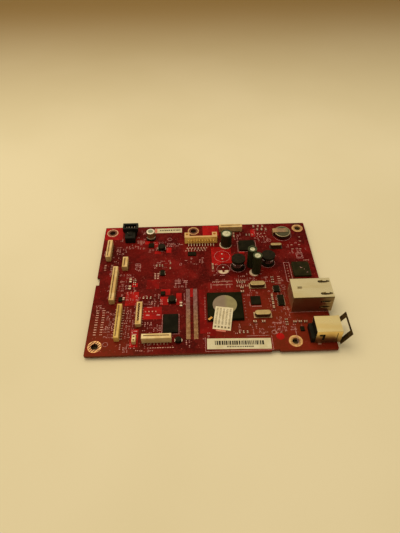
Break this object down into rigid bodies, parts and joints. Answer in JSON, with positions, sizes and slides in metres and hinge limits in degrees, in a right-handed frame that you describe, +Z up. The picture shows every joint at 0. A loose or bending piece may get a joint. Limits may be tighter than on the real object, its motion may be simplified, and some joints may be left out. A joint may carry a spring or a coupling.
{
  "type": "printer formatter board",
  "caption": "Red printer control board with a network jack, a USB jack, flat-cable sockets, capacitors, coils and chips.",
  "frame": {"origin": "middle of the board's underside", "axes": "+X along the board to the edge with the two jacks, +Y to the rear edge, +Z up, away from the soldered side"},
  "size_m": [0.159, 0.116, 0.0191],
  "materials": {
    "board_laminate": "solder-resist lacquer over glass fibre",
    "gold_plating": "plated copper",
    "solder": "dull solder",
    "tinned_sheet": "tinned sheet",
    "spring_steel": "dark spring steel",
    "black_plastic": "moulded",
    "gold_contact": "gold-plated",
    "bright_pin": "tinned",
    "ivory_plastic": "moulded",
    "chip_mould": "moulded",
    "grey_label": "matt",
    "paper_label": "matt",
    "crystal_metal": "satin",
    "can_aluminium": "satin",
    "dark_sleeve": "shrunk sleeve",
    "ferrite": "matt",
    "copper_wire": "enamelled wire",
    "cell_steel": "satin",
    "tan_strap": "nickel strip",
    "capacitor_ceramic": "matt",
    "resistor_ceramic": "matt"
  },
  "bodies": {
    "root": {"backup_cell": "cell_steel", "backup_cell_straps": "tan_strap", "barcode_label": "paper_label", "black_socket_housing": "black_plastic", "black_socket_pins": "bright_pin", "capacitor_leads": "bright_pin", "chip_capacitors": "capacitor_ceramic", "chip_end_caps": "bright_pin", "chip_resistors": "resistor_ceramic", "circuit_board": "board_laminate", "corner_socket_contacts": "bright_pin", "corner_socket_housing": "ivory_plastic", "crystal_bases": "black_plastic", "crystal_cans": "crystal_metal", "drum_cores": "ferrite", "drum_windings": "copper_wire", "flat_capacitor_base": "black_plastic", "flat_capacitor_can": "can_aluminium", "front_socket_contacts": "bright_pin", "front_socket_housing": "ivory_plastic", "long_socket_contacts": "bright_pin", "long_socket_housing": "ivory_plastic", "memory_chip": "chip_mould", "moulded_coil_bodies": "ferrite", "moulded_coil_terminals": "bright_pin", "mounting_hole_rings": "gold_plating", "network_chip_body": "chip_mould", "network_chip_leads": "bright_pin", "network_jack_contacts": "gold_contact", "network_jack_housing": "black_plastic", "network_jack_shield": "tinned_sheet", "pin_row_socket_contacts": "bright_pin", "pin_row_socket_housing": "ivory_plastic", "power_chip_body": "chip_mould", "power_chip_leads": "bright_pin", "processor_cap": "chip_mould", "processor_paper_label": "paper_label", "processor_round_label": "grey_label", "processor_substrate": "chip_mould", "rear_label": "paper_label", "rear_socket_contacts": "bright_pin", "rear_socket_housing": "ivory_plastic", "short_socket_contacts": "bright_pin", "short_socket_housing": "ivory_plastic", "small_chip_bodies": "chip_mould", "small_chip_leads": "bright_pin", "solder_balls": "solder", "solder_joints": "solder", "tall_capacitor_cans": "can_aluminium", "tall_capacitor_sleeves": "dark_sleeve", "ten_pin_header_housing": "ivory_plastic", "ten_pin_header_pins": "bright_pin", "trough_socket_contacts": "bright_pin", "trough_socket_housing": "ivory_plastic", "two_pin_socket_housing": "ivory_plastic", "two_pin_socket_pins": "bright_pin", "usb_ground_spring": "spring_steel", "usb_jack_contacts": "gold_contact", "usb_jack_housing": "black_plastic", "usb_jack_shield": "tinned_sheet"}
  },
  "joints": []
}
